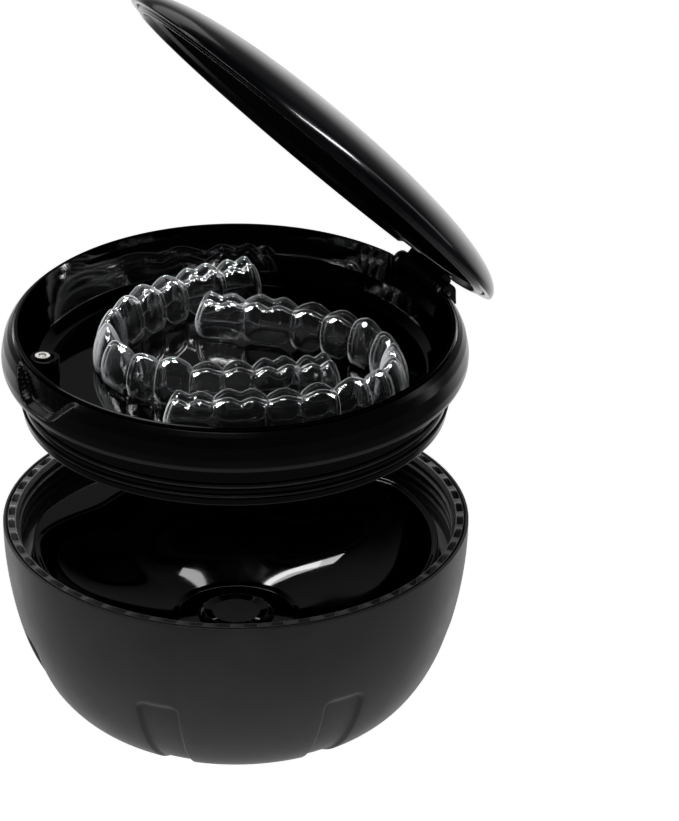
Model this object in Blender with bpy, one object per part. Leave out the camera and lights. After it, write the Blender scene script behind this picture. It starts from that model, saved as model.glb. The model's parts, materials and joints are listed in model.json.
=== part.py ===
"""Round case for two clear dental guards: soak bowl, lift-off tray with a hinged dome lid, two guards.

Lengths are in millimetres and become metres when a mesh is made. The origin is the middle of
the bowl's flat base, +Z is up, the lid's hinge is toward +Y and the thumb scoop toward -Y.
The tray stands lifted clear of the bowl with its lid part open, and the guards lie in it.
"""

import math

import bmesh
import bpy
from mathutils import Matrix, Vector

MM = 0.001
GAP = 0.35  # between pieces that touch

# Driving dimensions
CASE_R = 47.5  # outer radius at the bowl's rim
BOWL_H = 42.5  # base to rim
BASE_R = 20.0  # flat of the base
LIFT = 34.5  # how far the tray stands above its seat on the bowl
BAND_H = 9.3  # lip crest to the band's lower edge
SPIGOT_H = 18.6  # lip crest to the spigot's lower edge
TRAY_DEPTH = 11.4  # lip crest to the tray floor
LIP_Z = BOWL_H + 0.6 + BAND_H + LIFT  # lip crest, tray lifted
LIP_R = 44.5
HINGE_Y = 45.3
HINGE_Z = LIP_Z - 1.7
LID_R = 47.3
LID_RISE = 9.2  # height of the dome over the lid's edge
LID_EDGE_Z = LIP_Z + 1.5  # the lid's edge when shut
LID_OPEN = math.radians(49)

# Bowl
SHELL_WALL = 2.2
POCKETS = 7
POCKET_HALF = math.radians(6.4)
POCKET_FIRST = math.radians(-1.6)
POCKET_TOP = 21.5
POCKET_DEPTH = 1.1
COLLAR_IN_R = 43.9
COLLAR_Z = (31.0, BOWL_H)
LINER_TOP = BOWL_H - 5.5
LINER_R = 40.0  # the hollow where it follows the wall
SHELF_R = 31.0  # the hollow where the shelf narrows it
SHELF_SPAN = (math.radians(104), math.radians(228))
HOLLOW_FLOOR = 19.6
PLUG_R = 7.3

# Tray
SCOOP_HALF = math.radians(16)
SCOOP_DEPTH = 2.0
MAGNET_AT = (40.3, math.radians(254))  # radius and angle about Z
MAGNET_R = 1.65
POST_R = 3.0
SPIGOT_R = 43.2  # plug of the tray that goes down into the bowl's collar
GROOVE_R = 42.5
SEAL_GROOVES = {"seal_ring_upper": (14.85, 13.25), "seal_ring_lower": (16.95, 15.65)}  # below the lip
NOTCH_HALF = 9.8  # half the gap in the band and lip for the hinge

# Hinge
PIN_R = 0.7
BORE_R = 1.05
EAR_R = 2.0
EAR_IN, EAR_OUT = 6.9, 9.2
KNUCKLE_HALF = 6.5

# Guards: where the front of each arch is, which way the arch opens, its length and width
GUARD_H = 8.8
GUARD_WIDTHS = (6.4, 8.8)  # at the front teeth and at the molars
GUARD_WALL = 0.8
ARCHES = {
    "upper_guard": ((-12.7, -21.7), math.radians(79.3), 40.5, 44.9),
    "lower_guard": ((24.9, 23.5), math.radians(230), 43.9, 42.9),
}

COLUMNS = 48


def clear_scene():
    for item in list(bpy.data.objects):
        bpy.data.objects.remove(item, do_unlink=True)


def material(name, colour, roughness, metallic=0.0, clear=False):
    made = bpy.data.materials.new(name)
    made.use_nodes = True
    shader = made.node_tree.nodes["Principled BSDF"]
    shader.inputs["Base Color"].default_value = (*colour, 1.0)
    shader.inputs["Roughness"].default_value = roughness
    shader.inputs["Metallic"].default_value = metallic
    if clear:
        shader.inputs["Transmission Weight"].default_value = 0.9
    return made


def finish(name, mesh_edit, colour, roughness, metallic=0.0, clear=False, parent=None):
    """Make one object of a bmesh that is in millimetres in the parent's frame."""
    bmesh.ops.recalc_face_normals(mesh_edit, faces=mesh_edit.faces)
    bmesh.ops.scale(mesh_edit, vec=(MM, MM, MM), verts=mesh_edit.verts)
    mesh = bpy.data.meshes.new(name)
    mesh_edit.to_mesh(mesh)
    mesh_edit.free()
    mesh.shade_smooth()
    mesh.set_sharp_from_angle(angle=math.radians(35))
    made = bpy.data.objects.new(name, mesh)
    bpy.context.scene.collection.objects.link(made)
    made.data.materials.append(material(name, colour, roughness, metallic, clear))
    made.parent = parent
    return made


def turned(profile, angles=None):
    """Turn profile(angle), a list of (radius, height), about Z.

    An outline whose ends lie at radius 0 meets the axis in two points, and any other is a ring.
    """
    angles = angles or [2 * math.pi * k / COLUMNS for k in range(COLUMNS)]
    made = bmesh.new()
    rows = [profile(angle) for angle in angles]
    solid = rows[0][0][0] == 0
    poles = [made.verts.new((0, 0, rows[0][k][1])) for k in (0, -1)] if solid else []
    columns = []
    for angle, row in zip(angles, rows):
        inner = row[1:-1] if solid else row
        columns.append([made.verts.new((r * math.cos(angle), r * math.sin(angle), z)) for r, z in inner])
    for k, column in enumerate(columns):
        after = columns[(k + 1) % len(columns)]
        for n in range(len(column) - (1 if solid else 0)):
            m = (n + 1) % len(column)
            made.faces.new((column[n], column[m], after[m], after[n]))
        if solid:
            made.faces.new((poles[0], column[0], after[0]))
            made.faces.new((poles[1], after[-1], column[-1]))
    return made


def steady(points):
    """A profile that is the same at every angle."""
    return lambda angle: points


def smooth_step(value):
    value = min(max(value, 0.0), 1.0)
    return value * value * (3 - 2 * value)


def bowl_outline(steps, inset=0.0):
    """(radius, height) of the bowl's outside from rim to base: a superellipse, set in by inset."""
    points = []
    for k in range(steps + 1):
        turn = 0.5 * math.pi * k / steps
        r = BASE_R + (CASE_R - BASE_R) * math.cos(turn) ** 0.72
        z = BOWL_H * (1 - math.sin(turn) ** 1.12)
        lean = Vector((math.cos(turn), math.sin(turn)))  # near enough the outward normal
        points.append((r - inset * lean.x ** 0.5, z + inset * lean.y))
    return points


def pocket_dent(angle, z):
    """How far a grip pocket sets the bowl's side in, at this angle and height."""
    pitch = 2 * math.pi / POCKETS
    off = abs((angle - POCKET_FIRST + pitch / 2) % pitch - pitch / 2)
    across = smooth_step((POCKET_HALF - off) / (0.18 * POCKET_HALF))
    down = smooth_step((POCKET_TOP + 0.8 - z) / 1.6)
    return POCKET_DEPTH * across * down


def pocket_angles():
    """Columns that put the pockets' edges on mesh lines."""
    pitch = 2 * math.pi / POCKETS
    across = (-1.0, -0.82, 0.82, 1.0)
    plain = [POCKET_HALF + (pitch - 2 * POCKET_HALF) * k / 5 for k in range(1, 5)]
    offsets = [POCKET_HALF * a for a in across] + plain
    return [POCKET_FIRST + pitch * k + off for k in range(POCKETS) for off in offsets]


def make_bowl_shell():
    outside = [p for p in bowl_outline(10) if p[1] > 0.01]
    outside = [(CASE_R - 0.25, BOWL_H)] + [(CASE_R, BOWL_H - 0.4)] + outside[2:] + [(BASE_R, 0.0)]
    inside = [p for p in bowl_outline(8, SHELL_WALL) if p[1] < COLLAR_Z[0] - 0.5]
    seat_r = CASE_R - 0.55

    def profile(angle):
        row = [(0, 0.0)]
        row += [(r - pocket_dent(angle, z), z) for r, z in reversed(outside)]
        row += [(seat_r, BOWL_H), (seat_r - 1.45, COLLAR_Z[0]), (inside[0][0], COLLAR_Z[0])]
        row += inside + [(0, SHELL_WALL)]
        return row

    finish("bowl_shell", turned(profile, pocket_angles()), (0.020, 0.020, 0.022), 0.45)


def make_rim_collar():
    """The collar glued in the rim: ridged socket for the tray's spigot, and a web under it."""
    z0, z1 = COLLAR_Z[0] + GAP, COLLAR_Z[1]
    outer = [(CASE_R - 2.35, z0), (CASE_R - 0.9, z1)]
    ridges = []
    for k in range(3):
        z = z1 - 2.6 - 2.1 * k
        ridges += [(44.5, z + 0.7), (44.0, z + 0.35), (44.0, z - 0.35), (44.5, z - 0.7)]
    socket = [(44.9, z1), (44.3, z1 - 0.9), *ridges, (COLLAR_IN_R, z0 + 3.2), (COLLAR_IN_R, z0 + 1.3)]
    web = [(41.9, z0 + 1.3), (41.9, z0)]
    finish("rim_collar", turned(steady(outer + socket + web)), (0.022, 0.022, 0.024), 0.4)


def hollow_radius(angle):
    """Radius of the bowl liner's hollow at its top: round, and narrowed by a shelf on one side."""
    angle %= 2 * math.pi
    rise = smooth_step((angle - SHELF_SPAN[0]) / math.radians(18))
    fall = smooth_step((SHELF_SPAN[1] - angle) / math.radians(18))
    return LINER_R + (SHELF_R - LINER_R) * min(rise, fall)


def make_bowl_liner():
    wall = 1.4
    top, floor = LINER_TOP, HOLLOW_FLOOR

    def profile(angle):
        r = hollow_radius(angle)
        inside = [(0, floor - 0.8), (PLUG_R + GAP, floor - 0.8), (PLUG_R + GAP, floor), (12.2, floor)]
        inside += [(12.9, floor + 0.7), (r - 13, floor + 1.5), (r - 7, floor + 3.4)]
        inside += [(r - 3, floor + 7), (r - 1.1, floor + 11.5), (r - 0.2, top - 0.6), (r + 0.3, top)]
        rim = [(41.2, top), (41.55, top - 0.5), (41.55, top - 1.5), (r + wall, top - 1.55)]
        under = [(r + 0.4, floor + 11), (r - 1.6, floor + 6), (r - 6, floor + 1.9)]
        under += [(r - 12, floor - 0.1), (13.0, floor - 2.2), (0, floor - 2.2)]
        return inside + rim + under

    finish("bowl_liner", turned(profile), (0.006, 0.006, 0.007), 0.06)


def make_liner_plug():
    z = HOLLOW_FLOOR - 0.8 + GAP
    r = PLUG_R
    points = [(0, z), (r - 0.2, z), (r, z + 0.3), (r, z + 1.2), (r - 0.6, z + 1.7)]
    points += [(r - 2.2, z + 1.3), (0, z + 1.0)]
    finish("liner_plug", turned(steady(points)), (0.006, 0.006, 0.007), 0.08)


def boolean(target, other_mesh, operation):
    """Join or cut a bmesh that is in millimetres in the frame of target's parent."""
    bmesh.ops.recalc_face_normals(other_mesh, faces=other_mesh.faces)
    bmesh.ops.scale(other_mesh, vec=(MM, MM, MM), verts=other_mesh.verts)
    name = f"cutter_{target.name}_{len(target.modifiers)}"
    mesh = bpy.data.meshes.new(name)
    other_mesh.to_mesh(mesh)
    other_mesh.free()
    other = bpy.data.objects.new(name, mesh)
    bpy.context.scene.collection.objects.link(other)
    other.parent = target.parent
    other.hide_render = True
    other.display_type = "WIRE"
    step = target.modifiers.new(name, "BOOLEAN")
    step.operation = operation
    step.object = other


def cut(target, cutter_mesh):
    boolean(target, cutter_mesh, "DIFFERENCE")


def block(low, high):
    made = bmesh.new()
    middle = [(a + b) / 2 for a, b in zip(low, high)]
    size = [b - a for a, b in zip(low, high)]
    bmesh.ops.create_cube(made, size=1, matrix=Matrix.Translation(middle) @ Matrix.Diagonal((*size, 1)))
    return made


def rod(radius, x0, x1, centre=(0, 0), sides=16):
    """A rod along X whose axis passes through centre, (y, z)."""
    made = bmesh.new()
    place = Matrix.Translation(((x0 + x1) / 2, *centre)) @ Matrix.Rotation(math.pi / 2, 4, "Y")
    bmesh.ops.create_cone(
        made, cap_ends=True, segments=sides, radius1=radius, radius2=radius, depth=x1 - x0, matrix=place
    )
    return made


def disc(radius, low, high, at=(0, 0), sides=20):
    made = bmesh.new()
    place = Matrix.Translation((*at, (low + high) / 2))
    bmesh.ops.create_cone(
        made, cap_ends=True, segments=sides, radius1=radius, radius2=radius, depth=high - low, matrix=place
    )
    return made


def magnet_place():
    radius, angle = MAGNET_AT
    return radius * math.cos(angle), radius * math.sin(angle)


def hinge_notch(bottom, inner=42.4):
    return block((-NOTCH_HALF, inner, bottom), (NOTCH_HALF, CASE_R + 3, LIP_Z + 3))


def make_tray_dish():
    z = LIP_Z
    floor = z - TRAY_DEPTH
    inside = [(0, floor), (38.6, floor), (40.2, floor + 0.5), (41.2, floor + 1.8), (42.4, z - 6)]
    inside += [(43.6, z - 2), (44.2, z - 0.25)]
    lip = [(LIP_R, z), (44.8, z - 0.3), (44.75, z - 8), (SPIGOT_R, z - 9.6)]
    grooves = []
    for low, high in SEAL_GROOVES.values():
        grooves += [(SPIGOT_R, z - high), (GROOVE_R, z - high - 0.05)]
        grooves += [(GROOVE_R, z - low), (SPIGOT_R, z - low - 0.05)]
    foot = [(43.0, z - SPIGOT_H + 0.5), (42.6, z - SPIGOT_H), (42.1, z - SPIGOT_H), (41.9, z - SPIGOT_H + 0.3)]
    under = [(41.8, z - 14.4), (40.6, z - 13.0), (0, z - 13.0)]
    tray = finish("tray_dish", turned(steady(inside + lip + grooves + foot + under)), (0.006, 0.006, 0.007), 0.07)
    boolean(tray, disc(POST_R, floor - 0.8, z - 1.9, magnet_place(), 20), "UNION")
    cut(tray, disc(MAGNET_R + GAP, z - 2.6, z, magnet_place()))
    cut(tray, hinge_notch(z - 4.6))


def scoop_reach(angle):
    """How far below the lip the thumb scoop reaches: a lens with drawn-out ends."""
    off = abs((angle + math.pi / 2 + math.pi) % (2 * math.pi) - math.pi)
    return 0.5 + 6.6 * smooth_step((SCOOP_HALF - off) / (0.75 * SCOOP_HALF))


def make_tray_band():
    z = LIP_Z
    inner = 44.8 + GAP
    outer = [(45.4, 0.8), (46.2, 1.8), (47.0, 3.7), (47.4, 6.3), (47.3, 7.6), (46.9, 8.8), (46.3, BAND_H)]

    def profile(angle):
        reach = scoop_reach(angle)
        row = [(inner, z - BAND_H), (inner, z - 0.7)]
        for r, down in outer:
            set_in = SCOOP_DEPTH * smooth_step((reach - down) / 0.9)
            row.append((max(r - set_in, inner + 0.2 + 0.05 * down), z - down))
        return row

    band = finish("tray_band", turned(profile), (0.010, 0.010, 0.011), 0.12)
    cut(band, hinge_notch(z - 4.6))


def make_seal_rings():
    for name, (low, high) in SEAL_GROOVES.items():
        z0, z1 = LIP_Z - low + GAP, LIP_Z - high - GAP
        bead = (SPIGOT_R + 0.35, (z0 + z1) / 2)
        points = [(GROOVE_R + GAP, z0), (GROOVE_R + GAP, z1), (SPIGOT_R + 0.1, z1), bead, (SPIGOT_R + 0.1, z0)]
        finish(name, turned(steady(points)), (0.012, 0.012, 0.013), 0.5)


def make_tray_magnet():
    made = disc(MAGNET_R, LIP_Z - 2.6 + GAP, LIP_Z - 1.3, magnet_place())
    finish("tray_magnet", made, (0.60, 0.58, 0.55), 0.25, 1.0)


def extruded(outline, x0, x1):
    """An outline of (y, z) points drawn out along X."""
    made = bmesh.new()
    ends = [[made.verts.new((x, y, z)) for y, z in outline] for x in (x0, x1)]
    made.faces.new(ends[0])
    made.faces.new(ends[1][::-1])
    for n in range(len(outline)):
        m = (n + 1) % len(outline)
        made.faces.new((ends[0][n], ends[1][n], ends[1][m], ends[0][m]))
    return made


def arc(radius, start, end, steps):
    """(y, z) points on a circle round the hinge axis, angles in degrees from +Y."""
    turns = [math.radians(start + (end - start) * k / steps) for k in range(steps + 1)]
    return [(HINGE_Y + radius * math.cos(t), HINGE_Z + radius * math.sin(t)) for t in turns]


def bore(half):
    return rod(BORE_R, -half, half, (HINGE_Y, HINGE_Z))


def make_hinge():
    """Tray side of the hinge: a bracket with two ears in the notch, and the pin through them."""
    base = (HINGE_Z - 2.75, HINGE_Z - 2.2)
    outline = [(42.4 + GAP, base[1]), (42.4 + GAP, base[0]), (HINGE_Y + EAR_R, base[0])]
    outline += [*arc(EAR_R, 0, 180, 12), (HINGE_Y - EAR_R, base[1])]
    bracket = finish("hinge_bracket", extruded(outline, -EAR_OUT, EAR_OUT), (0.010, 0.010, 0.011), 0.15)
    cut(bracket, block((-EAR_IN, HINGE_Y - 4, base[1] - 0.1), (EAR_IN, HINGE_Y + 4, HINGE_Z + 4)))
    cut(bracket, bore(EAR_OUT + 1))
    pin = rod(PIN_R, -EAR_OUT - 0.1, EAR_OUT + 0.1, (HINGE_Y, HINGE_Z))
    finish("hinge_pin", pin, (0.62, 0.62, 0.63), 0.22, 1.0)


def lid_frame():
    """An empty on the hinge axis, turned to the lid's rest angle, that carries the lid's pieces."""
    frame = bpy.data.objects.new("lid_frame", None)
    bpy.context.scene.collection.objects.link(frame)
    frame.location = (0, HINGE_Y * MM, HINGE_Z * MM)
    frame.rotation_euler = (-LID_OPEN, 0, 0)
    bpy.context.view_layer.update()
    return frame


def on_lid(made):
    """Move a bmesh made where the shut lid is to the lid frame's own coordinates."""
    bmesh.ops.translate(made, vec=(0, -HINGE_Y, -HINGE_Z), verts=made.verts)
    return made


def dome(radius, rise, steps, top_first):
    """Quarter superellipse from the axis to the edge, or back."""
    power = 2.2
    points = []
    for k in range(steps + 1):
        turn = 0.5 * math.pi * k / steps
        points.append((radius * math.sin(turn) ** (2 / power), LID_EDGE_Z + rise * math.cos(turn) ** (2 / power)))
    points[0] = (0, LID_EDGE_Z + rise)
    return points if top_first else points[::-1]


def make_lid(frame):
    outer = dome(LID_R, LID_RISE, 9, True)[:-1] + [(LID_R, LID_EDGE_Z + 0.4), (LID_R - 0.35, LID_EDGE_Z)]
    inner = [(LID_R - 1.6, LID_EDGE_Z)] + dome(LID_R - 1.6, LID_RISE - 1.6, 7, False)[1:]
    shell = on_lid(turned(steady(outer + inner)))
    finish("lid_shell", shell, (0.008, 0.008, 0.010), 0.08, parent=frame)

    edge = LID_EDGE_Z
    ring = [(0, edge + 3.4), (30, edge + 2.3), (42, edge + 1.0), (43.3, edge + 0.4), (43.5, edge - 1.0)]
    ring += [(43.8, edge - 1.2), (45.0, edge - 1.2), (45.3, edge - 0.9), (45.3, edge + 0.6), (43.6, edge + 1.8)]
    ring += [(40, edge + 2.6), (30, edge + 3.7), (0, edge + 4.8)]
    liner = finish("lid_liner", on_lid(turned(steady(ring))), (0.012, 0.012, 0.013), 0.2, parent=frame)
    cut(liner, on_lid(block((-10.2, 42.0, edge - 3), (10.2, 50, edge + 0.3))))
    cut(liner, on_lid(disc(MAGNET_R + GAP, edge - 3, edge + 1.0, magnet_place())))

    magnet = on_lid(disc(MAGNET_R, edge - 0.4, edge + 1.0 - GAP, magnet_place()))
    finish("lid_magnet", magnet, (0.60, 0.58, 0.55), 0.25, 1.0, parent=frame)

    top = edge + 0.3 - GAP
    outline = [*arc(EAR_R, 180, 360, 12), (HINGE_Y + 0.8, HINGE_Z + 2.6), (HINGE_Y + 0.1, top)]
    outline += [(HINGE_Y - EAR_R, top)]
    knuckle = on_lid(extruded(outline, -KNUCKLE_HALF, KNUCKLE_HALF))
    knuckle = finish("hinge_knuckle", knuckle, (0.010, 0.010, 0.011), 0.3, parent=frame)
    cut(knuckle, on_lid(bore(EAR_OUT)))


def arch_line(length, width, steps):
    """Points and headings of a dental arch's middle line, arm end to arm end, front at the origin."""
    points = []
    for k in range(steps + 1):
        turn = math.pi * (k / steps - 0.5)
        along = length * (1 - math.cos(turn) ** 0.85)
        points.append(Vector((along, 0.5 * width * math.sin(turn))))
    headings = []
    for k in range(steps + 1):
        before, after = points[max(k - 1, 0)], points[min(k + 1, steps)]
        headings.append((after - before).normalized())
    return points, headings


def guard_section():
    """Outline across a guard: (share of its half width, millimetres added, height) from gum to gum."""
    outside = [(-1, 0, 0), (-1, -0.2, 3.5), (-0.86, 0, 7.6), (-0.5, 0, GUARD_H)]
    outside += [(-share, -added, up) for share, added, up in reversed(outside)]
    wall = GUARD_WALL
    inside = [(1, -wall, 0), (1, 0.1 - wall, 3.5), (0.86, -wall, 7.2), (0.5, -0.4, GUARD_H - wall)]
    inside += [(-share, -added, up) for share, added, up in reversed(inside)]
    return outside + inside


def make_guard(name, front, opens, length, width):
    """A thin trough bent along the arch, open side down, lying on the tray floor."""
    section = guard_section()
    floor = LIP_Z - TRAY_DEPTH + GAP
    points, headings = arch_line(length, width, 20)
    turn = Matrix.Rotation(opens, 2)
    made = bmesh.new()
    columns = []
    for point, heading in zip(points, headings):
        side = Vector((-heading.y, heading.x))
        column = []
        width = GUARD_WIDTHS[0] + (GUARD_WIDTHS[1] - GUARD_WIDTHS[0]) * smooth_step(1.3 * point.x / length)
        for edge, wall, up in section:
            flat = turn @ (point + side * (edge * width / 2 + wall)) + Vector(front)
            column.append(made.verts.new((flat.x, flat.y, floor + up)))
        columns.append(column)
    for column, after in zip(columns, columns[1:]):
        for n in range(len(section)):
            m = (n + 1) % len(section)
            made.faces.new((column[n], column[m], after[m], after[n]))
    made.faces.new(columns[0])
    made.faces.new(columns[-1])
    finish(name, made, (0.80, 0.82, 0.84), 0.05, clear=True)


def main():
    clear_scene()
    make_bowl_shell()
    make_rim_collar()
    make_bowl_liner()
    make_liner_plug()
    make_tray_dish()
    make_tray_band()
    make_seal_rings()
    make_tray_magnet()
    make_hinge()
    make_lid(lid_frame())
    for name, arch in ARCHES.items():
        make_guard(name, *arch)


main()
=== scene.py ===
"""Looks for the round guard case: fine shells, seals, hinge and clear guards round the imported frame.

Lengths are in millimetres in the part's own frame and become metres when a mesh is made. Heights
and places come from the frame. Radii are the case's own driving dimensions, as in its CAD.
"""

import json
import math
import random

import bmesh
import bpy
from mathutils import Matrix, Quaternion, Vector


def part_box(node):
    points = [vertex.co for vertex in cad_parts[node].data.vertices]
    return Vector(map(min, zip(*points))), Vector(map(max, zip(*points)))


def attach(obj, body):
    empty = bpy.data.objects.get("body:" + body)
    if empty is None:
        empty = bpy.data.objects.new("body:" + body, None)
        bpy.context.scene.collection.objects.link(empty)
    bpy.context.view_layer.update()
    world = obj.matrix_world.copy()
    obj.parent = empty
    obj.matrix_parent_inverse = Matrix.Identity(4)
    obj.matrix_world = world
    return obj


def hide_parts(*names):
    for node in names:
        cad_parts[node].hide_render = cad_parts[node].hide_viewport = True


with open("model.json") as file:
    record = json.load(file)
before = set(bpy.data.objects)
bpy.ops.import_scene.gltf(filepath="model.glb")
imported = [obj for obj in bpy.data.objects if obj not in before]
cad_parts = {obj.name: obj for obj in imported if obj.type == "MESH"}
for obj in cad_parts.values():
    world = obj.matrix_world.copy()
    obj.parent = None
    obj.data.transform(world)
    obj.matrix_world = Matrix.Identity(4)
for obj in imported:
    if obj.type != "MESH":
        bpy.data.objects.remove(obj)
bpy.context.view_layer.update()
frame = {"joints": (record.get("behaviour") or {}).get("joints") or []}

MM = 0.001


def node_box(node):
    """Lowest and highest corner of a CAD node, in millimetres."""
    return [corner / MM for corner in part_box(node)]


def joint(name):
    """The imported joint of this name."""
    return next(j for j in frame["joints"] if j["name"] == name)


# Heights and places, from the frame
BOWL_H = node_box("bowl_shell")[1].z
COLLAR_Z = [corner.z for corner in node_box("rim_collar")]
LINER_TOP = node_box("bowl_liner")[1].z
PLUG_Z = node_box("liner_plug")[0].z
LIP_Z = node_box("tray_dish")[1].z
SPIGOT_Z = node_box("tray_dish")[0].z
BAND_Z = node_box("tray_band")[0].z
TRAY_FLOOR = LIP_Z - 11.4
MAGNET_TOP = node_box("tray_magnet")[1].z
HINGE = Vector(joint("lid_hinge")["pos_m"]) / MM
LID_OPEN = -math.radians(joint("lid_hinge")["range_deg"][0])
LID_EDGE_Z = LIP_Z + 1.5  # the lid's edge when shut

# The case's own radii
CASE_R = 47.5
BASE_R = 20.0
COLLAR_R = 46.55
SOCKET_R = 44.9
LINER_R, SHELF_R = 40.0, 31.0
LEDGE_R = 41.55
PLUG_R = 7.3
HOLLOW_FLOOR = 19.6
# (radius, height over the floor) that the hollow's side is drawn towards
HOLLOW_CURVE = (
    (12.9, 0.6),
    (18, 1.6),
    (24, 2.9),
    (30, 4.9),
    (34.6, 7.8),
    (37.9, 11.6),
    (39.6, 15),
    (40, 17),
)
BAND_R = 47.4
SPIGOT_R, SEAL_SEAT_R = 43.2, 42.5
LID_R = 47.3
LID_RISE = 9.2
LID_WALL = 1.6
MAGNET_R, POST_R = 1.65, 3.0
MAGNET_XY = sum(node_box("tray_magnet"), Vector()).xy / 2

# Shape of the details
SHELL_WALL = 2.2
POCKETS = 7
POCKET_HALF = math.radians(6.4)
POCKET_FIRST = math.radians(-1.6)
POCKET_TOP = 21.5
POCKET_DEPTH = 0.98736
SHELF_SPAN = (math.radians(104), math.radians(228))
SHELF_EASE = math.radians(34)
SLOTS = 52
SLOT_HALF = math.radians(1.62)
SLOT_R = (45.2, 46.35)
SLOT_DEPTH = 2.4
RIB_R, GROOVE_R = 43.9, 44.5  # the collar's ribs, and the bottom of the grooves between them
RIBS, RIB_PITCH = 3, 2.1
SEAL_SEATS = ((14.85, 13.25), (16.95, 15.65))  # how far below the lip each starts and ends
NOTCH_HALF = math.asin(9.8 / 44.8)
NOTCH_Z = LIP_Z - 4.6
TRAY_EDGES = [math.pi / 2 - NOTCH_HALF, math.pi / 2 + NOTCH_HALF]
LID_NOTCH_HALF = math.asin(10.2 / 44.5)
EAR_R = 2.0  # round the hinge pin, on the bracket and the knuckle
PIN_R = 0.7
KNUCKLE_HALF = 6.5
KNUCKLE_RIBS = 13
SCOOP_HALF = math.radians(16)
SCOOP_DEPTH = 2.0
SCOOP_REACH = (0.5, 6.6)  # below the lip at the scoop's ends, and how much more in its middle

# Camera: a long lens that looks along this azimuth and down at this elevation
AZIMUTH, ELEVATION = math.radians(58), math.radians(28.2)
DISTANCE = 2.5
VIEW_HEIGHT = 0.16755
AIM = (0.02116, 0.02202)  # from the point below to the picture's middle, right and up
AIM_Z = 0.042


# ---------------------------------------------------------------- mesh helpers


def smooth_step(value):
    """An eased 0 to 1 for a value from 0 to 1, and flat beyond."""
    value = min(max(value, 0.0), 1.0)
    return value * value * (3 - 2 * value)


def flowing(points, steps=6):
    """A smooth curve (uniform cubic B-spline) drawn towards the points, from the first to the last."""
    ends = [points[0], *points, points[-1]]
    result = []
    for a, b, c, d in zip([points[0], *ends], ends, ends[1:], ends[2:] + [points[-1]]):
        for n in range(steps):
            t = n / steps
            weights = (
                (1 - t) ** 3, 3 * t**3 - 6 * t * t + 4, -3 * t**3 + 3 * t * t + 3 * t + 1, t**3
            )
            result.append(
                tuple(sum(w * p[k] for w, p in zip(weights, (a, b, c, d))) / 6 for k in (0, 1))
            )
    return [*result, points[-1]]


def rounded(points, steps=4, loop=False):
    """An outline with corners turned into arcs. A point is (r, z), or (r, z, corner radius)."""
    result = []
    last = len(points) - 1
    for k, point in enumerate(points):
        here = Vector(point[:2])
        if len(point) < 3 or (not loop and k in (0, last)):
            result.append(here)
            continue
        before = Vector(points[k - 1][:2]) - here
        after = Vector(points[(k + 1) % (last + 1)][:2]) - here
        reach = 0.48 * min(before.length, after.length)
        before.normalize()
        after.normalize()
        run = min(point[2] / max(math.tan(before.angle(after) / 2), 0.05), reach)
        for n in range(steps + 1):
            t = n / steps
            result.append(here + before * run * (1 - t) ** 2 + after * run * t * t)
    return result


def spaced(points, step):
    """The outline with extra points, so that none are further apart than step."""
    result = [Vector(points[0])]
    for point in points[1:]:
        gap = Vector(point) - result[-1]
        count = max(math.ceil(gap.length / step), 1)
        start = result[-1]
        result += [start + gap * (k / count) for k in range(1, count + 1)]
    return result


def piece(name, verts, faces, material, body, stands_for=(), place=None, weighted=True):
    """A mesh in millimetres as an object that rides on a body and may stand for CAD nodes."""
    mesh = bpy.data.meshes.new(name)
    mesh.from_pydata([Vector(v) * MM for v in verts], [], faces)
    if place is not None:
        mesh.transform(place)
    edit = bmesh.new()
    edit.from_mesh(mesh)
    bmesh.ops.remove_doubles(edit, verts=edit.verts, dist=1e-7)
    bmesh.ops.dissolve_degenerate(edit, edges=edit.edges, dist=1e-8)
    bmesh.ops.recalc_face_normals(edit, faces=edit.faces)
    edit.to_mesh(mesh)
    edit.free()
    mesh.shade_smooth()
    mesh.materials.append(material)
    made = bpy.data.objects.new(name, mesh)
    bpy.context.scene.collection.objects.link(made)
    if weighted:
        normals = made.modifiers.new("even_shading", "WEIGHTED_NORMAL")
        normals.keep_sharp = True
    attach(made, body)
    if stands_for:
        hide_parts(*stands_for)
    return made


def turned(outline_at, angles):
    """Vertices and faces of outline_at(angle), a list of (r, z), turned about Z.

    An outline whose ends lie on the axis closes there, and any other is a ring.
    """
    rows = [outline_at(angle) for angle in angles]
    solid = rows[0][0][0] == 0
    verts, faces = [], []
    if solid:
        verts += [(0, 0, rows[0][0][1]), (0, 0, rows[0][-1][1])]
        rows = [row[1:-1] for row in rows]
    size = len(rows[0])
    first = len(verts)
    for angle, row in zip(angles, rows):
        c, s = math.cos(angle), math.sin(angle)
        verts += [(r * c, r * s, z) for r, z in row]
    for k in range(len(angles)):
        a = first + k * size
        b = first + (k + 1) % len(angles) * size
        for n in range(size - 1 if solid else size):
            m = (n + 1) % size
            faces.append((a + n, a + m, b + m, b + n))
        if solid:
            faces.append((0, a, b))
            faces.append((1, b + size - 1, a + size - 1))
    return verts, faces


def even_angles(count):
    """Angles of one full turn in equal steps."""
    return [2 * math.pi * k / count for k in range(count)]


def angles_with(edges, count, blur=math.radians(0.35)):
    """Even angles, with extra ones close to each edge so that a step there stays crisp."""
    extra = [edge + blur * k / 3 for edge in edges for k in range(-3, 4)]
    keep = [a for a in even_angles(count) if all(abs(turn_between(a, e)) > blur * 1.4 for e in edges)]
    return sorted({round(a % (2 * math.pi), 7) for a in keep + extra})


def turn_between(a, b):
    """Signed turn from b to a, between -pi and pi."""
    return (a - b + math.pi) % (2 * math.pi) - math.pi


# ---------------------------------------------------------------- materials


# How much white painted edge highlight the clear sheet shows where it faces the eye and where it is seen
# edge-on, and the facing where that starts: a whitish diffuse that stands in for the bright reflections
# along its edges
PAINTED_EDGE_HIGHLIGHT = (0.004, 0.95)
PAINTED_HIGHLIGHT_FACING = (0.55, 1.0)


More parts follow.
